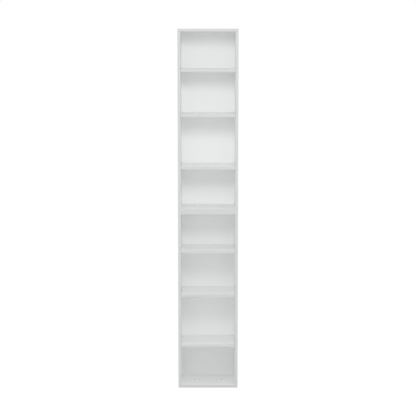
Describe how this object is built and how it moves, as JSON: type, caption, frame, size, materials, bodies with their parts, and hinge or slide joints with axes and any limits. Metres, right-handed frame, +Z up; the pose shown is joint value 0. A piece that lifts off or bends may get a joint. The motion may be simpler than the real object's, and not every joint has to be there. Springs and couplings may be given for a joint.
{
  "type": "bookcase",
  "caption": "Tall narrow open bookcase of stacked white board modules, with loose shelves on pins, thin backs in grooves and knock-down cam fittings.",
  "frame": {"origin": "middle of the footprint, on the floor", "axes": "+X to the right seen from the front, +Y to the rear, +Z up; the open front faces -Y"},
  "size_m": [0.4, 0.28, 2.41],
  "materials": {
    "white_board": "satin white melamine on chipboard, raw at the rear edges and in the holes",
    "white_edge_band": "satin white edge band",
    "white_hardboard": "white lacquer in front, raw brown hardboard behind",
    "nickel_plated_steel": "bright nickel plate",
    "zinc_plated_steel": "blue zinc plate",
    "zinc_alloy": "dull as-cast zinc",
    "beech": "plain beech",
    "white_plastic": "matte white plastic"
  },
  "bodies": {
    "case": {"cam_caps": "white_plastic", "lower_back_panel": "white_hardboard", "lower_bottom_panel": "white_board", "lower_bottom_panel_band": "white_edge_band", "lower_cam_bolts": "zinc_plated_steel", "lower_cam_locks": "zinc_alloy", "lower_dowels": "beech", "lower_shelf_high_pins": "nickel_plated_steel", "lower_shelf_low_pins": "nickel_plated_steel", "lower_shelf_middle_pins": "nickel_plated_steel", "lower_side_left": "white_board", "lower_side_left_band": "white_edge_band", "lower_side_right": "white_board", "lower_side_right_band": "white_edge_band", "lower_top_panel": "white_board", "lower_top_panel_band": "white_edge_band", "stacking_screws": "zinc_plated_steel", "stacking_sleeve_nuts": "zinc_plated_steel", "upper_back_panel": "white_hardboard", "upper_bottom_panel": "white_board", "upper_bottom_panel_band": "white_edge_band", "upper_cam_bolts": "zinc_plated_steel", "upper_cam_locks": "zinc_alloy", "upper_dowels": "beech", "upper_shelf_high_pins": "nickel_plated_steel", "upper_shelf_low_pins": "nickel_plated_steel", "upper_shelf_middle_pins": "nickel_plated_steel", "upper_side_left": "white_board", "upper_side_left_band": "white_edge_band", "upper_side_right": "white_board", "upper_side_right_band": "white_edge_band", "upper_top_panel": "white_board", "upper_top_panel_band": "white_edge_band"},
    "lower_shelf_low": {"lower_shelf_low": "white_board", "lower_shelf_low_band": "white_edge_band"},
    "lower_shelf_middle": {"lower_shelf_middle": "white_board", "lower_shelf_middle_band": "white_edge_band"},
    "lower_shelf_high": {"lower_shelf_high": "white_board", "lower_shelf_high_band": "white_edge_band"},
    "upper_shelf_low": {"upper_shelf_low": "white_board", "upper_shelf_low_band": "white_edge_band"},
    "upper_shelf_middle": {"upper_shelf_middle": "white_board", "upper_shelf_middle_band": "white_edge_band"},
    "upper_shelf_high": {"upper_shelf_high": "white_board", "upper_shelf_high_band": "white_edge_band"}
  },
  "joints": [
    {"name": "lower_shelf_low_lift", "type": "slide", "parent": "case", "child": "lower_shelf_low", "axis": [0, 0, 1], "range_m": [0, 0.032]},
    {"name": "lower_shelf_middle_lift", "type": "slide", "parent": "case", "child": "lower_shelf_middle", "axis": [0, 0, 1], "range_m": [0, 0.032]},
    {"name": "lower_shelf_high_lift", "type": "slide", "parent": "case", "child": "lower_shelf_high", "axis": [0, 0, 1], "range_m": [0, 0.032]},
    {"name": "upper_shelf_low_lift", "type": "slide", "parent": "case", "child": "upper_shelf_low", "axis": [0, 0, 1], "range_m": [0, 0.032]},
    {"name": "upper_shelf_middle_lift", "type": "slide", "parent": "case", "child": "upper_shelf_middle", "axis": [0, 0, 1], "range_m": [0, 0.032]},
    {"name": "upper_shelf_high_lift", "type": "slide", "parent": "case", "child": "upper_shelf_high", "axis": [0, 0, 1], "range_m": [0, 0.032]}
  ]
}
